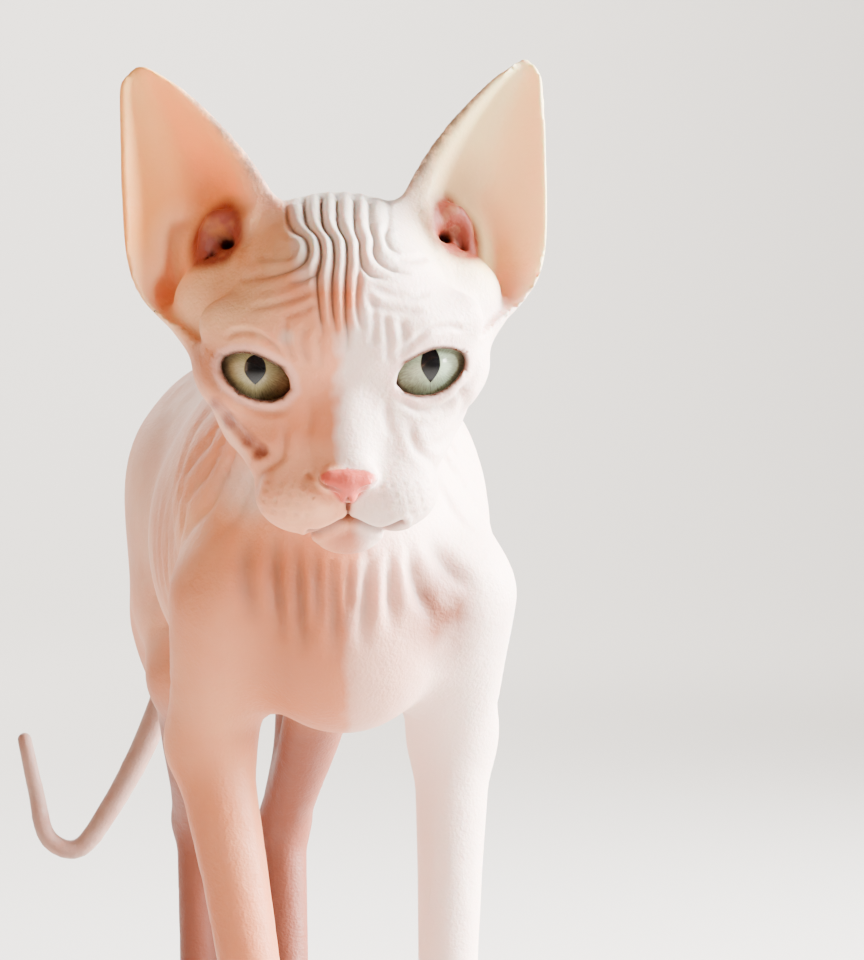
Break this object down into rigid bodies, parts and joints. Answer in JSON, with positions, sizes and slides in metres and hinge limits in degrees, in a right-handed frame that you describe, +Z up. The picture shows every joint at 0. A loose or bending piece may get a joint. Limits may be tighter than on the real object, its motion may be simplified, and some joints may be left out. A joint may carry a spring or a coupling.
{
  "type": "sphynx cat",
  "caption": "Life-size still model of a hairless sphynx cat, standing with its head lowered and turned a little aside, ears upright and tail hanging in a hook.",
  "frame": {"origin": "On the floor, under the middle of the cat's bounding box as seen from above", "axes": "+X the cat's left, -Y ahead, where the cat faces, +Z up"},
  "size_m": [0.136, 0.3534, 0.3235],
  "materials": {
    "skin": "bare, finely wrinkled, satin",
    "ear_skin": "thin bare skin, satin",
    "tail_skin": "bare, satin",
    "eye": "wet, glossy"
  },
  "bodies": {
    "root": {"head": "skin", "neck": "skin", "chest": "skin", "belly": "skin", "hips": "skin", "ear_left": "ear_skin", "eye_left": "eye", "foreleg_left": "skin", "forepaw_left": "skin", "thigh_left": "skin", "shank_left": "skin", "hindpaw_left": "skin", "ear_right": "ear_skin", "eye_right": "eye", "foreleg_right": "skin", "forepaw_right": "skin", "thigh_right": "skin", "shank_right": "skin", "hindpaw_right": "skin", "tail_base": "tail_skin", "tail_middle": "tail_skin", "tail_tip": "tail_skin"}
  },
  "joints": []
}
